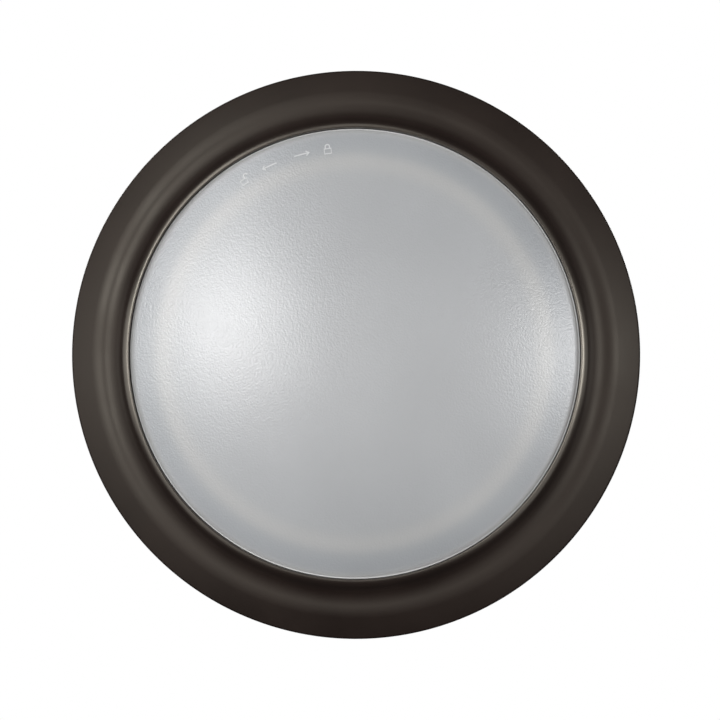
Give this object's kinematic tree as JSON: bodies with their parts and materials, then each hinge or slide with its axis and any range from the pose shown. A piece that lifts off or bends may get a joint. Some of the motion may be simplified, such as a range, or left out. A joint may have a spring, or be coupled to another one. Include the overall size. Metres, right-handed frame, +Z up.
{
  "type": "surface-mounted disk light",
  "caption": "Round surface-mounted LED light with a dark bronze moulded trim ring and a frosted domed lens that twists off to reach its fixing screws.",
  "frame": {"origin": "middle of the mounting bar's back face, on the light's axis and in the plane of the wall", "axes": "+Y points back into the wall, along the light's axis; the lens faces -Y; +X is to the right and +Z up, as the light is seen from the front"},
  "size_m": [0.1906, 0.0285, 0.1906],
  "materials": {
    "bronze_paint": "dark bronze paint, satin, slightly metallic",
    "frosted_lens": "frosted translucent plastic with a fine pebbled face",
    "silicone": "translucent white silicone",
    "white_paint": "white powder coat, satin",
    "black_foam": "black closed-cell foam",
    "zinc_plate": "zinc plated steel",
    "green_screw": "green earth screw",
    "white_solder_mask": "white solder mask on an aluminium core",
    "heat_pad": "soft grey-blue heat-conducting sheet",
    "led_package": "white package with a yellow phosphor window",
    "reflector_sheet": "matt white sheet",
    "spring_steel": "bright spring steel",
    "tray_plastic": "black insulating plastic",
    "cover_plastic": "white plastic",
    "driver_board_green": "green circuit board",
    "black_rubber": "black rubber",
    "link_plastic": "natural white connector plastic",
    "ferrite": "dark grey ferrite",
    "film_capacitor_case": "red-brown case",
    "black_epoxy": "black moulding",
    "terminal_plastic": "light grey plastic",
    "varistor_coat": "blue epoxy coat",
    "capacitor_sleeve": "dark shrink sleeve",
    "fuse_body": "ceramic-filled body"
  },
  "bodies": {
    "mount": {"mounting_bar": "zinc_plate", "keyhole_screw_1": "zinc_plate", "keyhole_screw_2": "zinc_plate", "ground_screw": "green_screw"},
    "light": {"housing_pan": "white_paint", "trim_ring": "bronze_paint", "wall_gasket": "black_foam", "thermal_pad": "heat_pad", "led_board": "white_solder_mask", "led_01": "led_package", "led_02": "led_package", "led_03": "led_package", "led_04": "led_package", "led_05": "led_package", "led_06": "led_package", "led_07": "led_package", "led_08": "led_package", "led_09": "led_package", "led_10": "led_package", "led_11": "led_package", "led_12": "led_package", "led_13": "led_package", "led_14": "led_package", "led_15": "led_package", "led_16": "led_package", "reflector": "reflector_sheet", "driver_tray": "tray_plastic", "driver_board": "driver_board_green", "driver_cover": "cover_plastic", "input_terminal": "terminal_plastic", "fuse": "fuse_body", "varistor": "varistor_coat", "film_capacitor": "film_capacitor_case", "bridge_rectifier": "black_epoxy", "choke": "ferrite", "bulk_capacitor": "capacitor_sleeve", "transformer": "ferrite", "driver_chip": "black_epoxy", "board_link": "link_plastic", "wire_grommet": "black_rubber", "spring_clip_1": "spring_steel", "spring_clip_2": "spring_steel", "spring_clip_3": "spring_steel", "clip_screw_1": "zinc_plate", "clip_screw_2": "zinc_plate", "clip_screw_3": "zinc_plate", "led_board_screw_1": "zinc_plate", "led_board_screw_2": "zinc_plate", "led_board_screw_3": "zinc_plate", "cover_screw_1": "zinc_plate", "cover_screw_2": "zinc_plate", "ring_screw_1": "zinc_plate", "ring_screw_2": "zinc_plate", "ring_screw_3": "zinc_plate"},
    "lens_carrier": {"lens_seal": "silicone"},
    "lens": {"lens": "frosted_lens"}
  },
  "joints": [
    {"name": "fixture_twist", "type": "hinge", "parent": "mount", "child": "light", "pos_m": [0, 0, 0], "axis": [0, -1, 0], "range_deg": [0, 12]},
    {"name": "lens_twist", "type": "hinge", "parent": "light", "child": "lens_carrier", "pos_m": [0, 0, 0], "axis": [0, -1, 0], "range_deg": [0, 20]},
    {"name": "lens_pull", "type": "slide", "parent": "lens_carrier", "child": "lens", "axis": [0, -1, 0], "range_m": [0, 0.045], "deforming": ["spring_clip_1", "spring_clip_2", "spring_clip_3"]}
  ]
}
